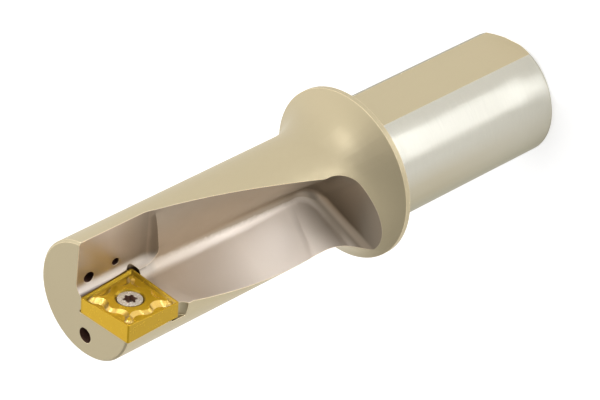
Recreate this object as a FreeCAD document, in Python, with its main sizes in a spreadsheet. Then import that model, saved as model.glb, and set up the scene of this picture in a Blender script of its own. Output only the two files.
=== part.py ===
import FreeCAD
import Part
import Sketcher
import math
import os

# Indexable drill for turning and drilling: a one-piece steel body with one helical
# flute, a square coated insert over the full radius and one six-lobe screw.
# Millimetres and degrees. The origin is the centre of the shank's end face, +Z runs
# to the cutting end, +Y is the way the shank flat and the rake face look, and the
# cutting edge runs out from the axis towards +X.

Vector = FreeCAD.Vector
doc = FreeCAD.newDocument("indexable_drill")

DRIVING_SIZES = [
    ("shank_diameter", 32.0, "parallel shank"),
    ("shank_length", 58.0, "shank end to the flange's seating face"),
    ("shank_chamfer", 1.6, "chamfer round the shank's end"),
    ("flat_height", 14.2, "axis to the clamping flat"),
    ("flange_diameter", 44.0, "flange rim"),
    ("rim_thickness", 1.6, "straight rim of the flange"),
    ("rim_break", 0.3, "edge break on the rim"),
    ("nose_length", 82.4, "rim front to the front face"),
    ("flare_radius", 16.5, "hollow flare from the body to the flange"),
    ("body_diameter", 30.0, "drill body"),
    ("front_chamfer", 0.5, "chamfer round the front face"),
    ("flute_lead", 320.0, "one turn of the flute"),
    ("flute_wall_offset", 1.3, "flute wall beyond the axis"),
    ("flute_floor_offset", 1.45, "flute floor below the axis"),
    ("flute_fillet", 3.2, "hollow between flute wall and floor"),
    ("flute_square", 20.0, "front face to where the flute is square to the rake face"),
    ("flute_start", 15.0, "front face to where the flute cut starts"),
    ("run_out", 72.4, "front face to the end wall, at the flute wall"),
    ("run_out_slant", 21.4, "end wall from square to the axis"),
    ("run_out_corner", 8.0, "corner between flute wall and end wall"),
    ("run_out_straight", 0.94, "straight flute between the helix and the run-out corner"),
    ("pocket_depth", 3.1, "chip pocket wall beyond the axis, at its floor"),
    ("pocket_floor", 0.15, "chip pocket floor above the axis"),
    ("pocket_lean", 6.2, "lean of the chip pocket wall"),
    ("pocket_fillet", 3.0, "hollow along the foot of the chip pocket wall"),
    ("pocket_length", 27.0, "chip pocket from the front face"),
    ("pocket_end_radius", 8.0, "rear end of the chip pocket, in plan"),
    ("insert_edge", 16.4, "each side of the insert"),
    ("insert_angle", 87.0, "cutting corner of the insert"),
    ("insert_thickness", 4.76, "insert, at its two high corners"),
    ("corner_drop", 0.9, "the two low corners below the two high ones"),
    ("insert_nose", 0.4, "corner radius of the insert"),
    ("insert_out", 6.55, "insert centre from the axis, along the edge"),
    ("insert_up", 0.8, "plane of the high corners above the axis, at the insert centre"),
    ("insert_back", 8.05, "insert centre behind the front face"),
    ("insert_turn", 0.3, "insert turned about its screw"),
    ("insert_side_tilt", 2.0, "inner side higher than the outer side"),
    ("insert_rake_tilt", 1.8, "front edge higher than the rear edge"),
    ("seat_headroom", 3.0, "seat cut above the insert's top face"),
    ("seat_relief", 1.75, "round relief at the seat's inner rear corner"),
    ("relief_along", 1.3, "its centre from the corner, along the rear edge"),
    ("relief_ahead", 0.4, "its centre ahead of the rear edge"),
    ("outer_relief", 2.4, "round relief at the seat's outer rear corner"),
    ("outer_relief_drop", 0.5, "outer relief below the seat"),
    ("seat_groove", 0.45, "radius of the grooves along the seat's inner edges"),
    ("edge_land", 0.4, "flat land behind the cutting edge"),
    ("groove_depth", 0.55, "chip groove below the land"),
    ("groove_width", 0.55, "outer slope of the chip groove, in plan"),
    ("island_slope", 52.0, "side of the central island, from upright"),
    ("island_drop", 0.3, "central island below the high corners"),
    ("arm_reach", 3.3, "corner to the centre of an arm's round end"),
    ("arm_radius", 0.5, "round end of an island arm"),
    ("bulge_offset", 4.2, "centre to the centre of a side bulge"),
    ("bulge_radius", 1.7, "side bulge of the island"),
    ("valley_radius", 2.4, "hollow between arms and bulges"),
    ("insert_bore", 4.5, "hole through the insert"),
    ("insert_mouth", 7.2, "mouth of the insert's hole"),
    ("head_diameter", 6.0, "screw head"),
    ("head_recess", 0.2, "screw head below the central island"),
    ("head_rim", 0.45, "straight rim of the screw head"),
    ("head_cone", 60.0, "full angle of the screw head's seat"),
    ("thread_diameter", 4.0, "screw thread"),
    ("screw_length", 10.0, "screw, over all"),
    ("screw_point", 0.5, "chamfer at the screw's point"),
    ("thread_spare", 1.0, "tapped hole beyond the screw's point"),
    ("socket_lobe_circle", 1.33, "radius of the circle of lobes"),
    ("socket_lobe", 0.42, "radius of a lobe"),
    ("socket_valley", 0.45, "radius between two lobes"),
    ("socket_depth", 1.7, "six-lobe socket"),
    ("inlet_diameter", 12.0, "coolant inlet in the shank end"),
    ("inlet_depth", 50.0, "coolant inlet"),
    ("inlet_chamfer", 1.0, "chamfer at the inlet's mouth"),
    ("front_duct_diameter", 3.9, "coolant duct to the front face"),
    ("front_duct_below", 9.4, "front coolant outlet below the axis"),
    ("front_duct_tilt", 5.2, "front duct from the drill's axis"),
    ("front_duct_heading", 133.0, "way the front duct leans"),
    ("side_duct_diameter", 3.6, "coolant duct beside the chip pocket"),
    ("side_duct_out", 9.2, "side duct from the axis, at its front end"),
    ("side_duct_up", 3.2, "side duct above the axis, at its front end"),
    ("side_duct_back", 5.0, "front face to the side duct's front end"),
    ("side_duct_tilt", 3.4, "side duct from the drill's axis"),
    ("side_duct_heading", -18.0, "way the side duct leans"),
    ("front_outlet_diameter", 2.7, "front coolant outlet in the chip pocket"),
    ("front_outlet_back", 3.9, "front face to the front pocket outlet"),
    ("front_outlet_up", 3.7, "front pocket outlet above the axis"),
    ("rear_outlet_diameter", 1.9, "rear coolant outlet in the chip pocket"),
    ("rear_outlet_back", 12.0, "front face to the rear pocket outlet"),
    ("rear_outlet_up", 4.4, "rear pocket outlet above the axis"),
    ("outlet_sweep", 28.0, "pocket outlets swept back from square"),
    ("outlet_length", 8.0, "pocket outlet, wall to duct"),
    ("overcut", 4.0, "how far a cutting shape stands out past the steel"),
]

sizes = doc.addObject("Spreadsheet::Sheet", "sizes")
for row, (alias, value, meaning) in enumerate(DRIVING_SIZES, start=1):
    sizes.set("A%d" % row, alias)
    sizes.set("B%d" % row, str(value))
    sizes.setAlias("B%d" % row, alias)
    sizes.set("C%d" % row, meaning)
doc.recompute()

# Places worked out from the driving sizes, as expressions
FACE = "(sizes.shank_length + sizes.rim_thickness + sizes.nose_length)"
RIM_FRONT = "(sizes.shank_length + sizes.rim_thickness)"
FLARE_RISE = "((sizes.flange_diameter - sizes.body_diameter) / 2)"
FLARE_LENGTH = "sqrt(2 * sizes.flare_radius * {0} - {0} * {0})".format(FLARE_RISE)
WELL_OUT = "(sizes.flange_diameter / 2 + sizes.overcut)"
RUN_OUT_TANGENT = "(sizes.run_out_corner / tan((90 + sizes.run_out_slant) / 2))"
HELIX_END = "(sizes.run_out - %s - sizes.run_out_straight)" % RUN_OUT_TANGENT
HELIX_TURN = "(360 * (%s - sizes.flute_square) / sizes.flute_lead)" % HELIX_END
HALF_SKEW = "(sizes.insert_edge / 2 * cos(sizes.insert_angle))"
HALF_DEPTH = "(sizes.insert_edge / 2 * sin(sizes.insert_angle))"
HEAD_TOP = "(-sizes.island_drop - sizes.head_recess)"
CONE_TOP = "(-sizes.island_drop - sizes.head_recess - sizes.head_rim)"

# Rake plane of the insert: x outwards, y to the rear, z out of the rake face
INSERT_FRAME = (
    "placement(vector(sizes.insert_out; sizes.insert_up; %s - sizes.insert_back);"
    " rotation(-sizes.insert_side_tilt; 0; 0))"
    " * placement(vector(0; 0; 0); rotation(0; sizes.insert_turn; -90 - sizes.insert_rake_tilt))"
) % FACE


def value_of(expression):
    """Number that an expression on the sheet gives."""
    result = sizes.evalExpression(expression)
    return float(getattr(result, "Value", result))


def new_body(name):
    return doc.addObject("PartDesign::Body", name)


def origin_item(body, role):
    for item in body.Origin.OriginFeatures:
        if item.Role == role:
            return item
    raise ValueError("no origin item " + role)


def new_sketch(body, name, place):
    """Sketch on the body's XY plane, moved by a placement expression."""
    sketch = body.newObject("Sketcher::SketchObject", name)
    sketch.AttachmentSupport = [(origin_item(body, "XY_Plane"), "")]
    sketch.MapMode = "FlatFace"
    sketch.setExpression("AttachmentOffset", place)
    return sketch


def dimension(sketch, kind, elements, expression):
    """Dimension constraint bound to an expression."""
    index = sketch.addConstraint(Sketcher.Constraint(kind, *elements, value_of(expression)))
    name = "size_%d" % index
    sketch.renameConstraint(index, name)
    sketch.setExpression("Constraints." + name, expression)


def arc_between(start, end, radius, turn):
    """Minor arc from start to end, turning left (+1) or right (-1)."""
    middle = (start + end) * 0.5
    half = (end - start).Length / 2
    along = (end - start).normalize()
    side = Vector(-along.y, along.x, 0) * turn
    centre = middle + side * math.sqrt(max(radius * radius - half * half, 0.0))
    first, last = (start, end) if turn > 0 else (end, start)
    first_angle = math.atan2(first.y - centre.y, first.x - centre.x)
    last_angle = math.atan2(last.y - centre.y, last.x - centre.x)
    circle = Part.Circle(centre, Vector(0, 0, 1), radius)
    return Part.ArcOfCircle(circle, first_angle, last_angle)


def draw_outline(sketch, corners):
    """Closed outline. A corner is (x, y) or (x, y, radius, turn): the last two make
    the stretch to the next corner an arc that turns left (+1) or right (-1)."""
    points = [Vector(value_of(corner[0]), value_of(corner[1]), 0) for corner in corners]
    starts = []
    ends = []
    for index, corner in enumerate(corners):
        start = points[index]
        end = points[(index + 1) % len(points)]
        if len(corner) == 2:
            sketch.addGeometry(Part.LineSegment(start, end), False)
            starts.append(1)
            ends.append(2)
        else:
            radius, turn = corner[2], corner[3]
            sketch.addGeometry(arc_between(start, end, value_of(radius), turn), False)
            starts.append(1 if turn > 0 else 2)
            ends.append(2 if turn > 0 else 1)
    for index, corner in enumerate(corners):
        after = (index + 1) % len(corners)
        sketch.addConstraint(Sketcher.Constraint("Coincident", index, ends[index], after, starts[after]))
        dimension(sketch, "DistanceX", (-1, 1, index, starts[index]), corner[0])
        dimension(sketch, "DistanceY", (-1, 1, index, starts[index]), corner[1])
        if len(corner) > 2:
            dimension(sketch, "Radius", (index,), corner[2])


def draw_lobes(sketch, lobes, valley):
    """Closed outline round a ring of lobes (x, y, radius), taken counter-clockwise,
    each joined to the next by a hollow arc of the valley radius."""
    hollow = value_of(valley)
    centres = [Vector(value_of(lobe[0]), value_of(lobe[1]), 0) for lobe in lobes]
    radii = [value_of(lobe[2]) for lobe in lobes]
    hollows = []
    for index, centre in enumerate(centres):
        after = (index + 1) % len(lobes)
        across = centres[after] - centre
        near = radii[index] + hollow
        far = radii[after] + hollow
        along = (across.Length ** 2 + near ** 2 - far ** 2) / (2 * across.Length)
        out = math.sqrt(near ** 2 - along ** 2)
        unit = across * (1 / across.Length)
        hollows.append(centre + unit * along + Vector(unit.y, -unit.x, 0) * out)

    def angle(origin, target):
        return math.atan2(target.y - origin.y, target.x - origin.x)

    for index, centre in enumerate(centres):
        before = hollows[index - 1]
        after = hollows[index]
        following = centres[(index + 1) % len(lobes)]
        lobe_circle = Part.Circle(centre, Vector(0, 0, 1), radii[index])
        valley_circle = Part.Circle(after, Vector(0, 0, 1), hollow)
        lobe_arc = Part.ArcOfCircle(lobe_circle, angle(centre, before), angle(centre, after))
        valley_arc = Part.ArcOfCircle(valley_circle, angle(after, following), angle(after, centre))
        sketch.addGeometry([lobe_arc, valley_arc], False)
    arcs = 2 * len(lobes)
    for index, lobe in enumerate(lobes):
        convex = 2 * index
        concave = convex + 1
        sketch.addConstraint(Sketcher.Constraint("Tangent", convex, 2, concave, 2))
        sketch.addConstraint(Sketcher.Constraint("Tangent", concave, 1, (convex + 2) % arcs, 1))
        dimension(sketch, "DistanceX", (-1, 1, convex, 3), lobe[0])
        dimension(sketch, "DistanceY", (-1, 1, convex, 3), lobe[1])
        dimension(sketch, "Radius", (convex,), lobe[2])
        dimension(sketch, "Radius", (concave,), valley)


def pad(body, name, sketch, length, reverse=False, slope=None, cut=False):
    """Pad, or pocket if cut, of a sketch by a length expression."""
    feature = body.newObject("PartDesign::Pocket" if cut else "PartDesign::Pad", name)
    feature.Profile = sketch
    feature.Reversed = reverse
    feature.setExpression("Length", length)
    if slope:
        feature.setExpression("TaperAngle", slope)
    return feature


def turned(body, name, sketch, cut=False):
    """Full revolution, or groove if cut, of a sketch about the body's Z axis."""
    feature = body.newObject("PartDesign::Groove" if cut else "PartDesign::Revolution", name)
    feature.Profile = sketch
    feature.ReferenceAxis = (origin_item(body, "Z_Axis"), [""])
    feature.Angle = 360
    return feature


def round_edges(body, name, base, radius, wanted):
    """Fillet on the edges of the base whose middle point passes the test."""
    doc.recompute()
    names = []
    for number, edge in enumerate(base.Shape.Edges, start=1):
        middle = edge.valueAt((edge.FirstParameter + edge.LastParameter) / 2)
        if wanted(edge, middle):
            names.append("Edge%d" % number)
    feature = body.newObject("PartDesign::Fillet", name)
    feature.Base = (base, names)
    feature.setExpression("Radius", radius)
    return feature


def rod(body, name, radius, length, place):
    """Round rod along the z axis of a placement expression."""
    feature = body.newObject("PartDesign::AdditiveCylinder", name)
    feature.AttachmentSupport = [(origin_item(body, "XY_Plane"), "")]
    feature.MapMode = "FlatFace"
    feature.setExpression("Radius", radius)
    feature.setExpression("Height", length)
    feature.setExpression("AttachmentOffset", place)
    return feature


UPRIGHT = "placement(vector(0; 0; 0); rotation(0; 0; 90))"


def make_blank():
    """Turned body: shank, flange, hollow flare and drill body, with the shank flat."""
    body = new_body("blank")
    profile = new_sketch(body, "turned_profile", UPRIGHT)
    rim = "sizes.flange_diameter / 2"
    shank = "sizes.shank_diameter / 2"
    nose = "sizes.body_diameter / 2"
    rim_arc_end = "%s + %s" % (RIM_FRONT, FLARE_LENGTH)
    draw_outline(profile, [
        ("0", "0"),
        (shank + " - sizes.shank_chamfer", "0"),
        (shank, "sizes.shank_chamfer"),
        (shank, "sizes.shank_length"),
        (rim + " - sizes.rim_break", "sizes.shank_length"),
        (rim, "sizes.shank_length + sizes.rim_break"),
        (rim, RIM_FRONT, "sizes.flare_radius", -1),
        (nose, rim_arc_end),
        (nose, FACE + " - sizes.front_chamfer"),
        (nose + " - sizes.front_chamfer", FACE),
        ("0", FACE),
    ])
    turned(body, "turning", profile)
    flat = new_sketch(body, "flat_outline", "placement(vector(0; sizes.flat_height; 0); rotation(0; 0; 90))")
    draw_outline(flat, [
        ("-sizes.shank_diameter", "-sizes.overcut"),
        ("sizes.shank_diameter", "-sizes.overcut"),
        ("sizes.shank_diameter", "sizes.shank_length"),
        ("-sizes.shank_diameter", "sizes.shank_length"),
    ])
    pad(body, "shank_flat", flat, "sizes.shank_diameter", cut=True)
    return body


def make_flute_tool():
    """Space of the flute: straight run-out with its end wall, then the helical part."""
    body = new_body("flute_tool")
    wall = "-sizes.flute_wall_offset"
    floor = "-sizes.flute_floor_offset"
    helix_low = "(%s - %s)" % (FACE, HELIX_END)
    end_wall = "(%s - sizes.run_out)" % FACE
    far_end = "%s - (%s + sizes.flute_wall_offset) * tan(sizes.run_out_slant)" % (end_wall, WELL_OUT)
    floor_frame = (
        "placement(vector(0; 0; 0); rotation(-%s; 0; 0))"
        " * placement(vector(0; %s; 0); rotation(0; 0; 90))" % (HELIX_TURN, floor))
    plan = new_sketch(body, "run_out_plan", floor_frame)
    draw_outline(plan, [
        (wall, end_wall + " + " + RUN_OUT_TANGENT, "sizes.run_out_corner", 1),
        (wall + " + %s * cos(sizes.run_out_slant)" % RUN_OUT_TANGENT,
         end_wall + " - %s * sin(sizes.run_out_slant)" % RUN_OUT_TANGENT),
        (WELL_OUT, far_end),
        (WELL_OUT, helix_low),
        (wall, helix_low),
    ])
    run_out = pad(body, "run_out_space", plan, WELL_OUT, reverse=True)
    doc.recompute()
    turn = math.radians(value_of(HELIX_TURN))
    floor_height = -value_of("sizes.flute_floor_offset")
    wall_place = -value_of("sizes.flute_wall_offset")
    end_height = value_of(helix_low)
    out_place = value_of(WELL_OUT)

    def at_foot(edge, middle):
        along = math.cos(turn) * middle.x - math.sin(turn) * middle.y
        up = math.sin(turn) * middle.x + math.cos(turn) * middle.y
        outer_side = along > out_place - 0.01
        helix_side = middle.z > end_height - 0.01
        return abs(up - floor_height) < 0.01 and not outer_side and not helix_side

    round_edges(body, "run_out_hollow", run_out, "sizes.flute_fillet", at_foot)
    top = "%s + %s" % (floor, WELL_OUT)
    section_corners = [
        (wall, top),
        (wall, floor + " + sizes.flute_fillet", "sizes.flute_fillet", 1),
        (wall + " + sizes.flute_fillet", floor),
        (WELL_OUT, floor),
        (WELL_OUT, top),
    ]
    section = new_sketch(body, "flute_section", (
        "placement(vector(0; 0; %s); rotation(-%s; 0; 0))" % (helix_low, HELIX_TURN)))
    draw_outline(section, section_corners)
    helix = body.newObject("PartDesign::AdditiveHelix", "helical_space")
    helix.Profile = section
    helix.ReferenceAxis = (origin_item(body, "Z_Axis"), [""])
    helix.Mode = "pitch-height-angle"
    helix.LeftHanded = False
    helix.setExpression("Pitch", "sizes.flute_lead")
    helix.setExpression("Height", HELIX_END + " - sizes.flute_square")
    square = new_sketch(body, "square_section", (
        "placement(vector(0; 0; %s - sizes.flute_square); rotation(0; 0; 0))" % FACE))
    draw_outline(square, section_corners)
    pad(body, "square_space", square, "sizes.flute_square - sizes.flute_start")
    return body


def make_pocket_tool():
    """Space of the chip pocket over the insert: leaning wall, hollow foot, round end."""
    body = new_body("pocket_tool")
    wall = "-sizes.pocket_depth"
    rear = "(%s - sizes.pocket_length)" % FACE
    front = "(%s + sizes.overcut)" % FACE
    plan = new_sketch(body, "pocket_plan", (
        "placement(vector(0; sizes.pocket_floor; 0); rotation(0; 0; 90))"))
    draw_outline(plan, [
        (wall, front),
        (wall, rear + " + sizes.pocket_end_radius", "sizes.pocket_end_radius", 1),
        (wall + " + sizes.pocket_end_radius", rear),
        (WELL_OUT, rear),
        (WELL_OUT, front),
    ])
    space = pad(body, "pocket_space", plan, "sizes.body_diameter / 2 + sizes.overcut",
                reverse=True, slope="-sizes.pocket_lean")
    doc.recompute()
    floor_height = value_of("sizes.pocket_floor")
    front_height = value_of(front)
    out_place = value_of(WELL_OUT)

    def at_foot(edge, middle):
        outer_side = middle.x > out_place - 0.01
        front_side = middle.z > front_height - 0.01
        return abs(middle.y - floor_height) < 0.01 and not outer_side and not front_side

    round_edges(body, "pocket_hollow", space, "sizes.pocket_fillet", at_foot)
    return body


def make_seat_tool():
    """Space of the insert seat, with its reliefs and the tapped hole."""
    body = new_body("seat_tool")
    margin = "(1 + 2 * sizes.overcut / sizes.insert_edge)"
    low_frame = INSERT_FRAME + " * placement(vector(0; 0; -sizes.insert_thickness); rotation(0; 0; 0))"
    outline = new_sketch(body, "seat_outline", low_frame)
    rear_inner = ("-sizes.insert_edge / 2 - " + HALF_SKEW, HALF_DEPTH)
    rear_outer = ("sizes.insert_edge / 2 - " + HALF_SKEW, HALF_DEPTH)
    front = "-%s * %s" % (HALF_DEPTH, margin)
    draw_outline(outline, [
        rear_inner,
        ("-sizes.insert_edge / 2 + %s * %s" % (HALF_SKEW, margin), front),
        (WELL_OUT, front),
        (WELL_OUT, HALF_DEPTH),
    ])
    height = "sizes.insert_thickness + sizes.seat_headroom"
    pad(body, "seat_space", outline, height)
    corner = INSERT_FRAME + " * placement(vector(%s; %s; %s); rotation(0; 0; 0))"
    rod(body, "inner_relief", "sizes.seat_relief", height, corner % (
        rear_inner[0] + " + sizes.relief_along", rear_inner[1] + " - sizes.relief_ahead",
        "-sizes.insert_thickness"))
    rod(body, "outer_relief_bore", "sizes.outer_relief", height + " + sizes.outer_relief_drop", corner % (
        rear_outer[0] + " + sizes.outer_relief / 2", rear_outer[1],
        "-sizes.insert_thickness - sizes.outer_relief_drop"))
    along_inner = INSERT_FRAME + (
        " * placement(vector(%s; %s; -sizes.insert_thickness); rotation(90 - sizes.insert_angle; 0; 90))" % (
            rear_inner[0], rear_inner[1]))
    rod(body, "inner_groove", "sizes.seat_groove", "sizes.insert_edge + sizes.overcut", along_inner)
    along_rear = INSERT_FRAME + (
        " * placement(vector(%s; %s; -sizes.insert_thickness); rotation(0; 90; 0))" % (
            rear_inner[0], rear_inner[1]))
    rod(body, "rear_groove", "sizes.seat_groove", "sizes.insert_edge + sizes.overcut", along_rear)
    deep = "(sizes.screw_length + sizes.island_drop + sizes.head_recess + sizes.thread_spare)"
    rod(body, "tapped_hole", "sizes.thread_diameter / 2", deep,
        INSERT_FRAME + " * placement(vector(0; 0; -%s); rotation(0; 0; 0))" % deep)
    return body


def make_duct_tool():
    """Coolant ways: inlet in the shank end, two long ducts and the two pocket outlets."""
    body = new_body("duct_tool")
    inlet = new_sketch(body, "inlet_profile", UPRIGHT)
    bore = "sizes.inlet_diameter / 2"
    draw_outline(inlet, [
        ("0", "-sizes.overcut"),
        (bore + " + sizes.inlet_chamfer + sizes.overcut", "-sizes.overcut"),
        (bore, "sizes.inlet_chamfer"),
        (bore, "sizes.inlet_depth"),
        ("0", "sizes.inlet_depth + %s / tan(60)" % bore),
    ])
    turned(body, "inlet_space", inlet)
    duct = (
        "placement(vector(%s; %s; %s); rotation(%s; 0; 0))"
        " * placement(vector(0; 0; 0); rotation(0; 180 - %s; 0))")
    run = "(%s - sizes.inlet_depth + sizes.overcut)" % FACE
    front_duct = duct % ("0", "-sizes.front_duct_below", FACE, "sizes.front_duct_heading",
                         "sizes.front_duct_tilt")
    rod(body, "front_duct", "sizes.front_duct_diameter / 2", run + " + sizes.overcut",
        front_duct + " * placement(vector(0; 0; -sizes.overcut); rotation(0; 0; 0))")
    rod(body, "side_duct", "sizes.side_duct_diameter / 2", run + " - sizes.side_duct_back", duct % (
        "-sizes.side_duct_out", "sizes.side_duct_up", FACE + " - sizes.side_duct_back",
        "sizes.side_duct_heading", "sizes.side_duct_tilt"))
    outlet = (
        "placement(vector(-sizes.pocket_depth; %s; %s - %s); rotation(0; -90 - sizes.outlet_sweep; 0))"
        " * placement(vector(0; 0; -sizes.overcut / 2); rotation(0; 0; 0))")
    for name in ("front_outlet", "rear_outlet"):
        rod(body, name, "sizes.%s_diameter / 2" % name, "sizes.outlet_length + sizes.overcut / 2",
            outlet % ("sizes.%s_up" % name, FACE, "sizes.%s_back" % name))
    return body


def insert_x(across, back):
    """Across the insert, by fractions of its edges from the inner front corner."""
    return "((%s - 0.5) * sizes.insert_edge + (1 - 2 * (%s)) * %s)" % (across, back, HALF_SKEW)


def insert_y(back):
    return "((2 * (%s) - 1) * %s)" % (back, HALF_DEPTH)


def insert_top(across, back):
    """Height of the twisted top: nought at two opposite corners, low at the others."""
    return "(-sizes.corner_drop * ((1 - {0}) * (1 - ({1})) + ({0}) * ({1})))".format(across, back)


def lofted(body, name, rings, cut=False):
    """Straight-sided loft, or its space if cut, through a row of sketches."""
    feature = body.newObject("PartDesign::SubtractiveLoft" if cut else "PartDesign::AdditiveLoft", name)
    feature.Profile = rings[0]
    feature.Sections = [(ring, [""]) for ring in rings[1:]]
    feature.Ruled = True
    return feature


def make_insert():
    """Square coated insert: twisted top, chip groove and a lobed central island."""
    body = new_body("cutting_insert")
    section_frame = "placement(vector(0; %s; 0); rotation(0; 0; 90))"
    outline = new_sketch(body, "insert_outline", (
        "placement(vector(0; 0; -sizes.insert_thickness); rotation(0; 0; 0))"))
    corners = [("0", "0"), ("1", "0"), ("1", "1"), ("0", "1")]
    draw_outline(outline, [(insert_x(across, back), insert_y(back)) for across, back in corners])
    block = pad(body, "insert_block", outline, "sizes.insert_thickness")

    def upright(edge, middle):
        return abs(edge.tangentAt(edge.FirstParameter).z) > 0.99

    round_edges(body, "insert_noses", block, "sizes.insert_nose", upright)
    margin = "sizes.overcut / sizes.insert_edge"
    rings = []
    for name, back in (("top_front", "-" + margin), ("top_rear", "1 + " + margin)):
        ring = new_sketch(body, name, section_frame % insert_y(back))
        low = "(-%s)" % margin
        high = "(1 + %s)" % margin
        draw_outline(ring, [
            (insert_x(low, back), insert_top(low, back)),
            (insert_x(high, back), insert_top(high, back)),
            (insert_x(high, back), "sizes.overcut"),
            (insert_x(low, back), "sizes.overcut"),
        ])
        rings.append(ring)
    lofted(body, "twisted_top", rings, cut=True)
    land = "sizes.edge_land / sizes.insert_edge"
    slope_width = "sizes.groove_width / sizes.insert_edge"
    rings = []
    for name, back, width, depth in (
            ("groove_start", land, "0", "0"),
            ("groove_front", land + " + " + slope_width, slope_width, "sizes.groove_depth"),
            ("groove_rear", "1 - %s - %s" % (land, slope_width), slope_width, "sizes.groove_depth"),
            ("groove_stop", "1 - " + land, "0", "0")):
        inner = "(%s + %s)" % (land, width)
        outer = "(1 - %s - %s)" % (land, width)
        ring = new_sketch(body, name, section_frame % insert_y(back))
        draw_outline(ring, [
            (insert_x(inner, back), insert_top(inner, back) + " - " + depth),
            (insert_x(outer, back), insert_top(outer, back) + " - " + depth),
            (insert_x("(1 - %s + %s)" % (land, slope_width), back),
             insert_top("(1 - %s)" % land, back) + " + sizes.groove_depth"),
            (insert_x("(%s - %s)" % (land, slope_width), back),
             insert_top("(%s)" % land, back) + " + sizes.groove_depth"),
        ])
        rings.append(ring)
    lofted(body, "chip_groove", rings, cut=True)
    sides = [("0", "-1"), ("1", "0"), ("0", "1"), ("-1", "0")]
    foot = "(sizes.corner_drop + sizes.groove_depth)"
    spread = " + (%s - sizes.island_drop) * tan(sizes.island_slope)" % foot
    rings = []
    for name, height, growth in (("island_foot", foot, spread),
                                 ("island_top", "sizes.island_drop", "")):
        lobes = []
        for (across, back), (side_x, side_y) in zip(corners, sides):
            corner_x = insert_x(across, back)
            corner_y = insert_y(back)
            reach = "(1 - sizes.arm_reach / sqrt(pow(%s; 2) + pow(%s; 2)))" % (corner_x, corner_y)
            lobes.append(("%s * %s" % (corner_x, reach), "%s * %s" % (corner_y, reach),
                          "sizes.arm_radius" + growth))
            lobes.append(("%s * sizes.bulge_offset" % side_x, "%s * sizes.bulge_offset" % side_y,
                          "sizes.bulge_radius" + growth))
        ring = new_sketch(body, name, "placement(vector(0; 0; -%s); rotation(0; 0; 0))" % height)
        draw_lobes(ring, lobes, "sizes.valley_radius" + growth.replace("+", "-"))
        rings.append(ring)
    lofted(body, "island", rings)
    hole = new_sketch(body, "hole_profile", UPRIGHT)
    bore = "sizes.insert_bore / 2"
    slope = "tan(sizes.head_cone / 2)"
    draw_outline(hole, [
        ("0", "-sizes.insert_thickness - sizes.overcut"),
        (bore, "-sizes.insert_thickness - sizes.overcut"),
        (bore, "%s - (sizes.head_diameter / 2 - %s) / %s" % (CONE_TOP, bore, slope)),
        ("sizes.head_diameter / 2", CONE_TOP),
        ("sizes.insert_mouth / 2", "-sizes.island_drop"),
        ("sizes.insert_mouth / 2", "sizes.overcut"),
        ("0", "sizes.overcut"),
    ])
    turned(body, "screw_hole", hole, cut=True)
    body.setExpression("Placement", INSERT_FRAME)
    return body


def make_screw():
    """Countersunk clamping screw with a six-lobe socket."""
    body = new_body("insert_screw")
    profile = new_sketch(body, "screw_profile", UPRIGHT)
    head = "sizes.head_diameter / 2"
    thread = "sizes.thread_diameter / 2"
    cone_end = "%s - (%s - %s) / tan(sizes.head_cone / 2)" % (CONE_TOP, head, thread)
    draw_outline(profile, [
        ("0", HEAD_TOP + " - sizes.screw_length"),
        (thread + " - sizes.screw_point", HEAD_TOP + " - sizes.screw_length"),
        (thread, HEAD_TOP + " - sizes.screw_length + sizes.screw_point"),
        (thread, cone_end),
        (head, CONE_TOP),
        (head, HEAD_TOP),
        ("0", HEAD_TOP),
    ])
    turned(body, "screw_turning", profile)
    socket = new_sketch(body, "socket_outline", "placement(vector(0; 0; %s); rotation(0; 0; 0))" % HEAD_TOP)
    lobes = []
    for index in range(6):
        lobes.append(("sizes.socket_lobe_circle * cos(%d)" % (60 * index),
                      "sizes.socket_lobe_circle * sin(%d)" % (60 * index), "sizes.socket_lobe"))
    draw_lobes(socket, lobes, "sizes.socket_valley")
    pad(body, "six_lobe_socket", socket, "sizes.socket_depth", cut=True)
    body.setExpression("Placement", INSERT_FRAME)
    return body


def cut_from(name, base, tool):
    feature = doc.addObject("Part::Cut", name)
    feature.Base = base
    feature.Tool = tool
    doc.recompute()
    return feature


blank = make_blank()
flute_tool = make_flute_tool()
pocket_tool = make_pocket_tool()
seat_tool = make_seat_tool()
duct_tool = make_duct_tool()
cutting_insert = make_insert()
insert_screw = make_screw()
doc.recompute()
fluted_body = cut_from("fluted_body", blank, flute_tool)
pocketed_body = cut_from("pocketed_body", fluted_body, pocket_tool)
seated_body = cut_from("seated_body", pocketed_body, seat_tool)
drill_body = cut_from("drill_body", seated_body, duct_tool)
doc.recompute()

for item in doc.Objects:
    if "Invalid" in item.State or "Error" in item.State:
        raise RuntimeError(item.Name + " did not recompute")
    if item.isDerivedFrom("Part::Feature") and (item.Shape.isNull() or not item.Shape.isValid()):
        raise RuntimeError(item.Name + " has no valid shape")

os.makedirs("parts", exist_ok=True)
for node in (drill_body, cutting_insert, insert_screw):
    if len(node.Shape.Solids) != 1:
        raise RuntimeError(node.Label + " is not one solid")
    node.Shape.exportStep(os.path.join("parts", node.Label + ".step"))
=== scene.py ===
import math

import bmesh
import bpy
from mathutils import Matrix, Vector
from mathutils.bvhtree import BVHTree


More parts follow.
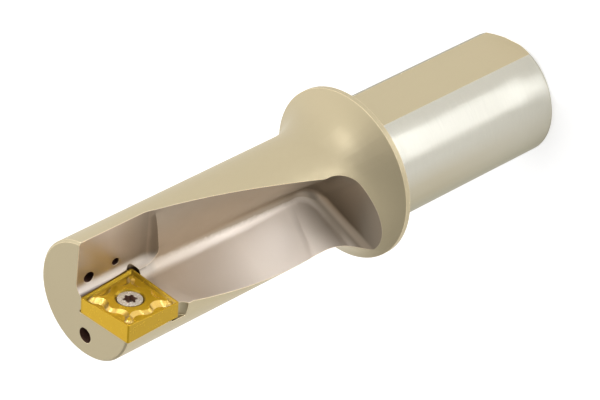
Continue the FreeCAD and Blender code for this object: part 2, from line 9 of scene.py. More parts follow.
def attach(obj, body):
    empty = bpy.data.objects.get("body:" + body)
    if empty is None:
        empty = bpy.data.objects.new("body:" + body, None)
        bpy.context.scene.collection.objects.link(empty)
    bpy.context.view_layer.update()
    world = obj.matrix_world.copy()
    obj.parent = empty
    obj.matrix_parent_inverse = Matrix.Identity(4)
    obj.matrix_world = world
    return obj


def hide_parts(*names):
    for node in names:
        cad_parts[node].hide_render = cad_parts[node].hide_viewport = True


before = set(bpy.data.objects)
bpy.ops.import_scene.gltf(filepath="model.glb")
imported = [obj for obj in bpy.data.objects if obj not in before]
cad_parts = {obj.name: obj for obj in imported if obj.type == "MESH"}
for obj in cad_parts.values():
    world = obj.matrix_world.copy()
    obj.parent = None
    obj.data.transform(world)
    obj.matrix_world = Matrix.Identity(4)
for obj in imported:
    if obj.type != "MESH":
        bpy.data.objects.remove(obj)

bl_info = {
    "name": "Indexable drill finishes",
    "version": (1, 0, 0),
    "blender": (4, 5, 0),
    "location": "View3D > Sidebar > Drill",
    "description": "Metal finishes, studio and camera for an indexable drill",
    "category": "Object",
}

SHANK_LENGTH = 0.058
SHANK_CORE = 0.012
BODY_RADIUS = 0.015
CUT_DEPTH = 0.004
CUT_ABOVE_SHANK = 0.001
LEAST_CUT_HEIGHT = 0.0005
WELD_GAP = 0.000001
SKIN = 0.00001
RAY_LIFT = 0.00005

# Slots of the body's and the screw's materials
COATED, GROUND, BORED, MILLED = range(4)
SCREW_BORED = 1

# Lowest and highest usual value of a noise texture
NOISE_RANGE = (0.3, 0.7)
GRAIN_ROUGHNESS = 0.02

# Where painted shade, a painted sheen and a painted tint on the milled coating change: a change
# starts at the first place and ends at the second.
# Heights are taken from the shank's end, the rest from the axis.
FLOOR_HEIGHTS = (0.119, 0.096)
FLOOR_END_HEIGHTS = (0.0665, 0.0785)
FLOOR_END_ACROSS = (0.005, 0.009)
FLUTE_HEIGHTS = (0.078, 0.12)
END_WALL_OUTER = (0.0125, 0.0165)
END_WALL_INNER = (0.007, 0.0145)
POCKET_END_HEIGHTS = (0.1212, 0.1228)
POCKET_MOUTH_HEIGHTS = (0.1195, 0.1212)
POCKET_SHADE_HEIGHTS = (0.1225, 0.1325)
INSERT_HEIGHTS = (0.127, 0.138)
SEAT_LEVEL = (0.0007, 0.0011)
SEAM_ACROSS = (-0.0026, -0.0021)
SEAM_HEIGHTS = (0.1255, 0.1262)
RELIEF_ACROSS = (-0.0006, 0.0)
RELIEF_HEIGHTS = (0.1222, 0.1226)

# The same for the way a milled surface faces: 1 is straight toward the tip (Z), up from the
# insert's top (Y) or across (X)
FOOT_TOWARD_TIP = (0.5, 0.75)
FOOT_UP = (-0.3, -0.1)
END_WALL_TOWARD_TIP = (0.8, 0.88)
END_WALL_UP = (-0.27, -0.12)
POCKET_WALL_ACROSS = (0.35, 0.7)
POCKET_END_TOWARD_TIP = (0.02, 0.42)
POCKET_END_ACROSS = (0.7, 0.85)
FLOOR_DIRECTION = (0.46, 0.87, -0.15)
FLOOR_AGREEMENT = (0.55, 0.84)
FLOOR_END_TOWARD_TIP = (0.55, 0.62)
FLOOR_END_UP = (0.2, 0.3)
RELIEF_UP = (0.3, 0.6)

# Places and facings where the shank's steel changes: its rounded end edge, its painted warm
# reflection and the faces that are not ground
SHANK_END_HEIGHTS = (0.003, 0.006)
SHANK_WARM_HEIGHTS = (0.012, 0.042)
SHANK_WARM_UP = (-0.05, 0.25)
SHANK_WARM_DOWN = (-0.55, -0.3)
SHANK_WARM_ACROSS = (0.4, 0.8)
FLAT_UP = 0.9999
END_ALONG = 0.99

# Places and facings where the insert's coating changes: its painted shade and its gloss
INSERT_BESIDE_WALL = (-0.0012, 0.0004)
INSERT_LEFT_SIDE = (-0.3, -0.08)
INSERT_RIGHT_SIDE = (0.7, 0.95)
INSERT_STEEP = (0.69, 0.77)
INSERT_UPRIGHT = (0.3, 0.6)
INSERT_SLOPE = (0.71, 0.78)
INSERT_LEVEL = (0.93, 0.985)

# Shares of a colour, or of its red, green and blue, for painted shade on the milled walls, gaps
# and insert, a painted cooler tint beside the insert and a painted warm reflection on the shank
REAR_SHARE = 0.62
DIM_SHARE = 0.37
COOLER_SHARES = (1.0, 1.07, 1.25)
WARMER_SHARES = (0.86, 0.81, 0.72)
CREVICE_SHADE_SHARE = 0.25
GOLD_SIDE_SHARE = 0.6
GOLD_GAP_SHARE = 0.22

# Bumps: strength and height in metres
NICKEL_BUMP = (0.12, 0.00002)
GROUND_BUMP = (0.18, 0.00001)
FINE_BUMP = (0.10, 0.00001)

# Lamps: name, place, aim, width, height, power, turn and spread, these two in degrees
LAMP_COLOUR = (0.86, 0.9, 1.0)
FIRST_LAMPS = (
    ("window_light", (0.14, 0.95, 0.23), (0, 0, 0.13), 0.56, 0.09, 0.95, 0, 180),
    ("insert_light", (-0.203, 0.523, 0.339), (0.008, 0, 0.134), 0.02, 0.02, 0.0005, 0, 3),
    ("floor_foot", (0.228, 0.142, 0.25), (0.0185, 0.0115, 0), 0.007, 0.005, 0.00025, 0, 1.5),
)
FLOOR_POOL = ("floor_pool", (0.08, 0.096, 0.4), (0.08, 0.096, 0), 0.06, 0.06, 0.046, 0, 4)

# A fan of lit strips on the floor, which the shank mirrors as one straight band
STRIP_ENDS_MM = (10, 22, 36, 54, 75, 88)
STRIP_ORIGIN = (0.0128, 0.0096, 0)
STRIP_DIRECTION = (0.848, 0.53, 0)
STRIP_WIDTH = 0.0056
STRIP_WIDENING = 0.78
STRIP_LAMP_HEIGHT = (0, 0, 0.25)
STRIP_POWER = 4.33
STRIP_TURN = 32
STRIP_SPREAD = 1.5

# The room's bright side, and how bright it is from its far side to its bright side
BRIGHT_SIDE = (-0.866, 0.5, 0.0)
ROOM_LIGHTS = ((0.0, 0.5), (0.2, 0.38), (0.44, 0.32), (0.64, 0.86), (0.74, 0.95), (1.0, 1.0))

CAMERA_PLACE = (0.495377, 0.437405, 0.565195)
CAMERA_RIGHT = (0.69537, 0.01981, -0.718378)
CAMERA_UP = (-0.394362, 0.846186, -0.358397)
CAMERA_BACK = (0.600782, 0.532519, 0.596225)
SENSOR_WIDTH_MM = 36
NEAREST_SEEN = 0.01


class FinishSettings(bpy.types.PropertyGroup):
    """Colours and fine sizes of the drill's metal finishes."""

    nickel: bpy.props.FloatVectorProperty(
        name="Satin nickel", description="Coating of the drill body", subtype="COLOR",
        size=4, min=0, max=1, default=(0.506, 0.429, 0.278, 1))
    nickel_deep: bpy.props.FloatVectorProperty(
        name="Satin nickel, deep", description="Coating where it mottles darker", subtype="COLOR",
        size=4, min=0, max=1, default=(0.494, 0.421, 0.269, 1))
    milled: bpy.props.FloatVectorProperty(
        name="Milled walls", description="Coating over the milled walls of flute and pocket",
        subtype="COLOR", size=4, min=0, max=1, default=(0.49, 0.395, 0.295, 1))
    # Paler colour painted on the flute's floor as a sheen.
    painted_floor_sheen: bpy.props.FloatVectorProperty(
        name="Flute floor", description="Coating on the polished flute floor", subtype="COLOR",
        size=4, min=0, max=1, default=(1.0, 0.90, 0.80, 1))
    ground: bpy.props.FloatVectorProperty(
        name="Ground shank", description="Steel of the ground shank", subtype="COLOR",
        size=4, min=0, max=1, default=(0.545, 0.526, 0.452, 1))
    gold: bpy.props.FloatVectorProperty(
        name="Insert coating", description="Golden hard coating", subtype="COLOR",
        size=4, min=0, max=1, default=(0.70, 0.425, 0.01, 1))
    gold_deep: bpy.props.FloatVectorProperty(
        name="Insert coating, deep", description="Coating where it is thicker", subtype="COLOR",
        size=4, min=0, max=1, default=(0.665, 0.39, 0.008, 1))
    screw_steel: bpy.props.FloatVectorProperty(
        name="Screw steel", description="Bright steel of the clamping screw", subtype="COLOR",
        size=4, min=0, max=1, default=(0.9, 0.825, 0.705, 1))
    end_round: bpy.props.FloatProperty(
        name="Shank end rounding", description="How far the shank's end edge is rounded",
        unit="LENGTH", default=0.0013, min=0)
    # Widths of the rounded edges, whose colour is also brightened as a painted highlight.
    edge_width: bpy.props.FloatProperty(
        name="Edge width", description="Worn edge of the steel", unit="LENGTH",
        default=0.00028, min=0)
    insert_edge_width: bpy.props.FloatProperty(
        name="Insert edge width", description="Honed edge of the insert", unit="LENGTH",
        default=0.00007, min=0)
    # Dark colour painted as shade inside the drilled holes, over their darker oily steel; a share
    # of it is also the painted shade in gaps and beside the insert's seat.
    bore_shade: bpy.props.FloatVectorProperty(
        name="Bore shade", description="Uncoated oily steel down in the drilled holes",
        subtype="COLOR", size=4, min=0, max=1, default=(0.22, 0.11, 0.075, 1))
    bore_reach: bpy.props.FloatProperty(
        name="Bore reach", description="Widest drilled hole that is dark inside", unit="LENGTH",
        default=0.0041, min=0)
    # How dark the painted shade line in the gap beside the insert's seat is.
    seat_shade_strength: bpy.props.FloatProperty(
        name="Seat line", description="How dark the oil stain beside the insert's seat is",
        default=0.85, min=0, max=1)
    sharp_angle: bpy.props.FloatProperty(
        name="Sharp angle", description="Borders that bend more than this stay sharp",
        subtype="ANGLE", default=math.radians(11))


class StudioSettings(bpy.types.PropertyGroup):
    """Floor, lights and camera."""

    floor_colour: bpy.props.FloatVectorProperty(
        name="Floor", description="Plain pale floor", subtype="COLOR",
        size=4, min=0, max=1, default=(0.7, 0.7, 0.7, 1))
    floor_size: bpy.props.FloatProperty(
        name="Floor size", description="Side of the floor", unit="LENGTH", default=12.0)
    floor_glow: bpy.props.FloatProperty(
        name="Floor glow", description="Light that the lit floor adds of its own", default=0.83)
    sky: bpy.props.FloatProperty(
        name="Room light", description="Strength of the room's light on its bright side",
        default=1.4)
    lens: bpy.props.FloatProperty(
        name="Lens", description="Focal length of the camera in millimetres", default=206.007)


def link_object(item):
    bpy.context.scene.collection.objects.link(item)
    return item


def mark_milled(work):
    """Gives the milled slot to the faces that are cut into the body's turned outline. The solid's
    faces are still loose here, so each one is an island of its own."""
    seen = set()
    for first in work.faces:
        if first in seen:
            continue
        island, waiting = [], [first]
        seen.add(first)
        while waiting:
            face = waiting.pop()
            island.append(face)
            for other in {near for edge in face.edges for near in edge.link_faces} - seen:
                seen.add(other)
                waiting.append(other)
        corners = [vert.co for face in island for vert in face.verts]
        heights = [corner.z for corner in corners]
        nearest = min(math.hypot(corner.x, corner.y) for corner in corners)
        inside = nearest < BODY_RADIUS - CUT_DEPTH
        above_shank = min(heights) > SHANK_LENGTH + CUT_ABOVE_SHANK
        if inside and above_shank and max(heights) - min(heights) > LEAST_CUT_HEIGHT:
            for face in island:
                face.material_index = MILLED


def merged_copy(node_name, piece_name, sharp_angle):
    """Smoothly shaded copy of a CAD node, with its loose faces merged. Only a border
    between two faces of the solid is kept sharp, where it bends more than the angle."""
    work = bmesh.new()
    work.from_mesh(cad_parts[node_name].data)
    for face in work.faces:
        face.material_index = COATED
    if node_name == "drill_body":
        mark_milled(work)
    for edge in work.edges:
        edge.seam = edge.is_boundary
    bmesh.ops.remove_doubles(work, verts=work.verts, dist=WELD_GAP)
    for edge in work.edges:
        bend = edge.calc_face_angle(0.0) if len(edge.link_faces) == 2 else 0.0
        edge.smooth = not (edge.seam and bend > sharp_angle)
        edge.seam = False
    for face in work.faces:
        face.smooth = True
    mesh = bpy.data.meshes.new(piece_name)
    work.to_mesh(mesh)
    work.free()
    for name in ("custom_normal", "sharp_face"):
        carried = mesh.attributes.get(name)
        if carried:
            mesh.attributes.remove(carried)
    piece = link_object(bpy.data.objects.new(piece_name, mesh))
    shading = piece.modifiers.new("even_shading", "WEIGHTED_NORMAL")
    shading.keep_sharp = True
    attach(piece, "root")
    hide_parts(node_name)
    return piece


def dress_node(node_name, material):
    """Gives the hidden CAD node the same material as the piece that stands for it."""
    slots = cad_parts[node_name].data.materials
    slots.clear()
    slots.append(material)


def add_node(tree, kind, **sockets):
    node = tree.nodes.new(kind)
    for name, value in sockets.items():
        node.inputs[name.replace("_", " ")].default_value = value
    return node


def new_group(name, inputs, outputs):
    """Shader node group with float inputs (name, default) and outputs (name, type)."""
    group = bpy.data.node_groups.new(name, "ShaderNodeTree")
    for label, default in inputs:
        socket = group.interface.new_socket(label, in_out="INPUT", socket_type="NodeSocketFloat")
        socket.default_value = default
    for label, kind in outputs:
        group.interface.new_socket(label, in_out="OUTPUT", socket_type=kind)
    return group, group.nodes.new("NodeGroupInput"), group.nodes.new("NodeGroupOutput")


def math_node(tree, operation, first=None, second=None, third=None, clamp=False):
    node = tree.nodes.new("ShaderNodeMath")
    node.operation = operation
    node.use_clamp = clamp
    for index, value in enumerate((first, second, third)):
        if value is None:
            continue
        if isinstance(value, (int, float)):
            node.inputs[index].default_value = value
        else:
            tree.links.new(value, node.inputs[index])
    return node.outputs[0]


def axes_of(tree, kind, output):
    """Sockets X, Y and Z of a vector that a new node of this kind gives."""
    parts = tree.nodes.new("ShaderNodeSeparateXYZ")
    tree.links.new(tree.nodes.new(kind).outputs[output], parts.inputs[0])
    return parts.outputs


def place_on(tree):
    """Sockets X, Y and Z of the place on the object."""
    return axes_of(tree, "ShaderNodeTexCoord", "Object")


def facing_of(tree):
    """Sockets X, Y and Z of the way the surface faces."""
    return axes_of(tree, "ShaderNodeNewGeometry", "Normal")


def dot_product(tree, first, second):
    """How far two directions agree. The second is a tuple or a socket."""
    node = tree.nodes.new("ShaderNodeVectorMath")
    node.operation = "DOT_PRODUCT"
    tree.links.new(first, node.inputs[0])
    if isinstance(second, tuple):
        node.inputs[1].default_value = second
    else:
        tree.links.new(second, node.inputs[1])
    return node.outputs["Value"]


def folded(tree, operation, first, *others):
    """Sockets joined to one by a math operation."""
    for other in others:
        first = math_node(tree, operation, first, other)
    return first


def product(tree, *sockets):
    return folded(tree, "MULTIPLY", *sockets)


def largest(tree, *sockets):
    return folded(tree, "MAXIMUM", *sockets)


def ranged(tree, value, low, high, start=NOISE_RANGE[0], stop=NOISE_RANGE[1]):
    """Goes from low to high while the value, as a rule a noise, goes from start to stop."""
    node = add_node(tree, "ShaderNodeMapRange", From_Min=start, From_Max=stop, To_Min=low,
                    To_Max=high)
    tree.links.new(value, node.inputs["Value"])
    return node.outputs["Result"]


def rising(tree, value, start, stop, top=1, bottom=0):
    """Mask that rises while the value goes from start to stop."""
    return ranged(tree, value, bottom, top, start, stop)


def falling(tree, value, start, stop, top=1, bottom=0):
    """Mask that falls while the value goes from start to stop."""
    return ranged(tree, value, top, bottom, start, stop)


def make_edge_highlight():
    """Mask and normal of a narrow rounded edge. The mask is where a highlight is painted into the
    colour.
    """
    group, given, result = new_group(
        "edge_highlight", [("Width", 0.00015)],
        [("Edge", "NodeSocketFloat"), ("Normal", "NodeSocketVector")])
    bevel = group.nodes.new("ShaderNodeBevel")
    bevel.samples = 6
    group.links.new(given.outputs["Width"], bevel.inputs["Radius"])
    shape = group.nodes.new("ShaderNodeNewGeometry")
    agreed = dot_product(group, bevel.outputs["Normal"], shape.outputs["Normal"])
    turned_away = math_node(group, "SUBTRACT", 1.0, agreed)
    contrast = 11.0
    mask = math_node(group, "MULTIPLY", turned_away, contrast, clamp=True)
    group.links.new(mask, result.inputs["Edge"])
    group.links.new(bevel.outputs["Normal"], result.inputs["Normal"])
    return group


def make_crevice():
    """Mask of the narrow gaps and corners, where shade is painted into the colour."""
    group, given, result = new_group(
        "crevice", [("Reach", 0.001), ("Start", 0.76)], [("Gap", "NodeSocketFloat")])
    shade = group.nodes.new("ShaderNodeAmbientOcclusion")
    shade.samples = 16
    group.links.new(given.outputs["Reach"], shade.inputs["Distance"])
    depth = math_node(group, "SUBTRACT", given.outputs["Start"], shade.outputs["AO"])
    contrast = 2.6
    gap = math_node(group, "MULTIPLY", depth, contrast, clamp=True)
    group.links.new(gap, result.inputs["Gap"])
    return group


def make_floor_mask():
    """Mask of the flute's floor, where a paler sheen is painted, found by the way it faces. It is
    stronger toward the flare, from the height Start to the height Full."""
    group, given, result = new_group(
        "floor_mask", [("Start", 0.118), ("Full", 0.088)], [("Floor", "NodeSocketFloat")])
    shape = group.nodes.new("ShaderNodeNewGeometry")
    agreed = dot_product(group, shape.outputs["Normal"], FLOOR_DIRECTION)
    along = add_node(group, "ShaderNodeMapRange", To_Min=0.35, To_Max=1.0)
    group.links.new(place_on(group)["Z"], along.inputs["Value"])
    group.links.new(given.outputs["Start"], along.inputs["From Min"])
    group.links.new(given.outputs["Full"], along.inputs["From Max"])
    turned = rising(group, agreed, *FLOOR_AGREEMENT)
    floor = product(group, turned, along.outputs["Result"])
    group.links.new(floor, result.inputs["Floor"])
    return group


def make_coat_grain():
    """Soft mottle and fine grain of a metal coating."""
    group, given, result = new_group(
        "coat_grain", [("Mottle size", 60.0), ("Grain size", 2600.0)],
        [("Mottle", "NodeSocketFloat"), ("Grain", "NodeSocketFloat")])
    place = group.nodes.new("ShaderNodeTexCoord")
    mottle = add_node(group, "ShaderNodeTexNoise", Detail=4.0, Roughness=0.55)
    grain = add_node(group, "ShaderNodeTexNoise", Detail=2.0, Roughness=0.5)
    for texture, size in ((mottle, "Mottle size"), (grain, "Grain size")):
        group.links.new(place.outputs["Object"], texture.inputs["Vector"])
        group.links.new(given.outputs[size], texture.inputs["Scale"])
    group.links.new(mottle.outputs["Fac"], result.inputs["Mottle"])
    group.links.new(grain.outputs["Fac"], result.inputs["Grain"])
    return group


def make_round_lines():
    """Fine lines that run round the drill's axis, as turning and grinding leave them."""
    group, given, result = new_group(
        "round_lines", [("Lines per metre", 9000.0), ("Waver", 0.02)],
        [("Lines", "NodeSocketFloat")])
    place = place_on(group)
    join = group.nodes.new("ShaderNodeCombineXYZ")
    for axis in "XY":
        group.links.new(product(group, place[axis], given.outputs["Waver"]), join.inputs[axis])
    group.links.new(place["Z"], join.inputs["Z"])
    lines = add_node(group, "ShaderNodeTexNoise", Detail=3.0, Roughness=0.6)
    group.links.new(join.outputs[0], lines.inputs["Vector"])
    group.links.new(given.outputs["Lines per metre"], lines.inputs["Scale"])
    group.links.new(lines.outputs["Fac"], result.inputs["Lines"])
    return group


def effect(tree, name, **values):
    """One of the shared node groups, placed in a material with its own values."""
    makers = {"edge_highlight": make_edge_highlight, "crevice": make_crevice, "floor_mask": make_floor_mask,
              "coat_grain": make_coat_grain, "round_lines": make_round_lines}
    node = tree.nodes.new("ShaderNodeGroup")
    node.node_tree = bpy.data.node_groups.get(name) or makers[name]()
    for label, value in values.items():
        node.inputs[label.replace("_", " ")].default_value = value
    return node


def new_metal(name, **sockets):
    material = bpy.data.materials.new(name)
    material.use_nodes = True
    tree = material.node_tree
    shader = tree.nodes["Principled BSDF"]
    shader.inputs["Metallic"].default_value = 1.0
    for label, value in sockets.items():
        shader.inputs[label.replace("_", " ")].default_value = value
    return material, tree, shader


def mixed_colour(tree, factor, first, second):
    """Colour between two, each a tuple or a socket."""
    mix = tree.nodes.new("ShaderNodeMix")
    mix.data_type = "RGBA"
    tree.links.new(factor, mix.inputs["Factor"])
    for label, value in (("A", first), ("B", second)):
        socket = [item for item in mix.inputs if item.name == label and item.type == "RGBA"][0]
        if isinstance(value, bpy.types.NodeSocket):
            tree.links.new(value, socket)
        else:
            socket.default_value = value
    return [item for item in mix.outputs if item.type == "RGBA"][0]


def mottled(tree, pattern, deep, colour):
    """Goes from a deep colour to a lighter one with a noise."""
    return mixed_colour(tree, ranged(tree, pattern, 0, 1), deep, colour)


def scaled(colour, *gains, lift=0.0):
    """A colour times one gain, or three for red, green and blue, and raised by the lift."""
    gains = gains if len(gains) == 3 else gains * 3
    return [min(1.0, value * gain + lift) for value, gain in zip(colour, gains)] + [1.0]


def grainy_roughness(tree, grain, low, high):
    """Roughness that goes from low to high with the mottle, with the fine grain over it."""
    return math_node(tree, "ADD", ranged(tree, grain.outputs["Mottle"], low, high),
                     ranged(tree, grain.outputs["Grain"], -GRAIN_ROUGHNESS, GRAIN_ROUGHNESS))


def bumped(tree, shader, height, bump_size, normal):
    """Bump of a height over a normal."""
    strength, distance = bump_size
    bump = add_node(tree, "ShaderNodeBump", Strength=strength, Distance=distance)
    tree.links.new(height, bump.inputs["Height"])
    tree.links.new(normal, bump.inputs["Normal"])
    tree.links.new(bump.outputs["Normal"], shader.inputs["Normal"])


def satin_nickel(finish):
    """Champagne coloured nickel coating, blasted satin, with a highlight painted along its rounded
    edges.
    """
    material, tree, shader = new_metal(
        "satin_nickel", Metallic=0.85, Specular_Tint=(0.91, 0.9, 0.86, 1))
    grain = effect(tree, "coat_grain", Mottle_size=55.0, Grain_size=2400.0)
    edge = effect(tree, "edge_highlight", Width=finish.edge_width)
    coat = mottled(tree, grain.outputs["Mottle"], finish.nickel_deep, finish.nickel)
    # Painted highlight: the colour is brightened along the rounded edges.
    highlighted = mixed_colour(tree, edge.outputs["Edge"], coat, scaled(finish.nickel, 1.85))
    tree.links.new(highlighted, shader.inputs["Base Color"])
    tree.links.new(grainy_roughness(tree, grain, 0.39, 0.45), shader.inputs["Roughness"])
    bumped(tree, shader, grain.outputs["Grain"], NICKEL_BUMP, edge.outputs["Normal"])
    return material


def shaded_walls(tree, finish, wall, rear):
    """Colour of the milled walls: painted shade behind the pocket, a cooler tint painted beside
    the insert, and deeper painted shade at the pocket's inner end, at the inner end wall and where
    a wall faces the tip."""
    place = place_on(tree)
    facing = facing_of(tree)
    foot = product(tree, rising(tree, facing["Z"], *FOOT_TOWARD_TIP, top=0.85),
                   rising(tree, facing["Y"], *FOOT_UP))
    end_wall = product(tree, rising(tree, facing["Z"], *END_WALL_TOWARD_TIP),
                       falling(tree, facing["Y"], *END_WALL_UP))
    outer = product(tree, end_wall, rising(tree, place["X"], *END_WALL_OUTER, top=0.42))
    inner = product(tree, end_wall, falling(tree, place["X"], *END_WALL_INNER, top=0.35))
    ahead = largest(tree, foot, outer, rising(tree, place["Z"], *FLUTE_HEIGHTS))
    # Painted shade on the walls behind the pocket.
    lit = mixed_colour(tree, ahead, rear, wall)
    pocket_wall = rising(tree, facing["X"], *POCKET_WALL_ACROSS)
    beside_insert = product(tree, rising(tree, place["Z"], *INSERT_HEIGHTS), pocket_wall)
    # Cooler tint painted beside the insert, against the gold light it reflects onto the wall.
    cooler = scaled(finish.milled, *COOLER_SHARES)
    lit = mixed_colour(tree, beside_insert, lit, cooler)
    tipward = product(tree, rising(tree, facing["Z"], *POCKET_END_TOWARD_TIP, top=0.76),
                      rising(tree, facing["X"], *POCKET_END_ACROSS),
                      falling(tree, place["Z"], *POCKET_END_HEIGHTS))
    pocket_end = product(tree, rising(tree, place["Z"], *POCKET_MOUTH_HEIGHTS),
                         falling(tree, place["Z"], *POCKET_SHADE_HEIGHTS, top=0.76), pocket_wall)
    # Deeper painted shade at the pocket's inner end, the inner end wall and walls facing the tip.
    dim = scaled(finish.milled, DIM_SHARE)
    return mixed_colour(tree, largest(tree, tipward, pocket_end, inner), lit, dim)


def floor_end_mask(tree):
    """Mask of the flute's floor where it ends at the end wall, where shade is painted."""
    place = place_on(tree)
    facing = facing_of(tree)
    return product(tree, falling(tree, place["Z"], *FLOOR_END_HEIGHTS),
                   falling(tree, place["X"], *FLOOR_END_ACROSS, bottom=0.75),
                   falling(tree, facing["Z"], *FLOOR_END_TOWARD_TIP),
                   rising(tree, facing["Y"], *FLOOR_END_UP))


def seat_shade_mask(tree):
    """Mask of the painted shade line in the gap beside the insert's seat and in the seat's corner
    relief.
    """
    place = place_on(tree)
    low = falling(tree, place["Y"], *SEAT_LEVEL)
    seam = product(tree, rising(tree, place["X"], *SEAM_ACROSS),
                   rising(tree, place["Z"], *SEAM_HEIGHTS), low)
    upright = product(tree, falling(tree, facing_of(tree)["Y"], *RELIEF_UP), low)
    corner = product(tree, falling(tree, place["X"], *RELIEF_ACROSS),
                     rising(tree, place["Z"], *RELIEF_HEIGHTS))
    return largest(tree, seam, product(tree, upright, corner))


def milled_nickel(finish):
    """The same coating over milled walls: browner, with a paler sheen painted on the flute's
    floor, painted shade on the walls, in gaps and beside the insert's seat, and painted highlights
    on the edges.
    """
    material, tree, shader = new_metal(
        "milled_nickel", Metallic=0.85, Specular_Tint=(0.86, 0.83, 0.77, 1))
    grain = effect(tree, "coat_grain", Mottle_size=75.0, Grain_size=2400.0)
    edge = effect(tree, "edge_highlight", Width=finish.edge_width)
    gap = effect(tree, "crevice", Reach=0.0013, Start=0.78)
    floor = effect(tree, "floor_mask", Start=FLOOR_HEIGHTS[0], Full=FLOOR_HEIGHTS[1])
    wall = mottled(tree, grain.outputs["Mottle"], scaled(finish.milled, 0.93), finish.milled)
    rear = scaled(finish.milled, REAR_SHARE)
    shaded = shaded_walls(tree, finish, wall, rear)
    # Painted paler sheen on the flute's floor.
    coat = mixed_colour(tree, floor.outputs["Floor"], shaded, finish.painted_floor_sheen)
    # Painted shade where the floor ends at the end wall.
    coat = mixed_colour(tree, floor_end_mask(tree), coat, rear)
    # Painted highlight: the colour is brightened along the rounded edges.
    highlighted = mixed_colour(tree, edge.outputs["Edge"], coat, scaled(finish.milled, 2.1))
    # Painted shade line in the gap beside the insert's seat.
    gap_line_shade = math_node(tree, "MULTIPLY", seat_shade_mask(tree), finish.seat_shade_strength)
    # Painted shade in narrow gaps and corners, joined with the seat's painted shade line.
    crevice_shade = largest(tree, gap.outputs["Gap"], gap_line_shade)
    colour = mixed_colour(tree, crevice_shade, highlighted, scaled(finish.bore_shade, CREVICE_SHADE_SHARE))
    tree.links.new(colour, shader.inputs["Base Color"])
    floor_roughness = 0.16
    rough = math_node(tree, "MULTIPLY_ADD", floor.outputs["Floor"], floor_roughness,
                      grainy_roughness(tree, grain, 0.32, 0.38))
    tree.links.new(rough, shader.inputs["Roughness"])
    bumped(tree, shader, grain.outputs["Grain"], NICKEL_BUMP, edge.outputs["Normal"])
    return material


def ground_steel(finish):
    """Ground cylindrical steel with fine lines round the axis, with a warm reflection painted on
    its lower side and a highlight painted along its edges. The edge at the shank's end is shaded
    round."""
    material, tree, shader = new_metal("ground_steel", Specular_Tint=(0.55, 0.53, 0.45, 1))
    lines = effect(tree, "round_lines", Lines_per_metre=7000.0, Waver=0.03)
    grain = effect(tree, "coat_grain", Mottle_size=90.0, Grain_size=3000.0)
    edge = effect(tree, "edge_highlight")
    place = place_on(tree)
    facing = facing_of(tree)
    width = ranged(tree, place["Z"], finish.end_round, finish.edge_width, *SHANK_END_HEIGHTS)
    tree.links.new(width, edge.inputs["Width"])
    # Painted warm reflection on the shank's lower side, chosen by facing and height.
    lower = product(tree, falling(tree, facing["Y"], *SHANK_WARM_UP),
                    rising(tree, facing["Y"], *SHANK_WARM_DOWN),
                    rising(tree, facing["X"], *SHANK_WARM_ACROSS),
                    rising(tree, place["Z"], *SHANK_WARM_HEIGHTS, bottom=0.35))
    clean = mottled(tree, lines.outputs["Lines"], scaled(finish.ground, 0.93), finish.ground)
    warm = scaled(finish.ground, *WARMER_SHARES)
    steel = mixed_colour(tree, lower, clean, warm)
    # Painted highlight: the colour is brightened along the rounded edges.
    highlighted = mixed_colour(tree, edge.outputs["Edge"], steel, scaled(finish.ground, 1.25))
    tree.links.new(highlighted, shader.inputs["Base Color"])
    tree.links.new(ranged(tree, grain.outputs["Mottle"], 0.22, 0.24), shader.inputs["Roughness"])
    bumped(tree, shader, lines.outputs["Lines"], GROUND_BUMP, edge.outputs["Normal"])
    return material


def bore_shade(finish):
    """Dark steel inside drilled holes and the screw's socket: painted shade over the darker oily
    steel there.
    """
    material, tree, shader = new_metal("bore_shade", Metallic=0.6)
    grain = effect(tree, "coat_grain", Mottle_size=400.0, Grain_size=5000.0)
    deep = scaled(finish.bore_shade, 0.6)
    shade = mottled(tree, grain.outputs["Mottle"], deep, finish.bore_shade)
    tree.links.new(shade, shader.inputs["Base Color"])
    tree.links.new(ranged(tree, grain.outputs["Grain"], 0.42, 0.52), shader.inputs["Roughness"])
    return material


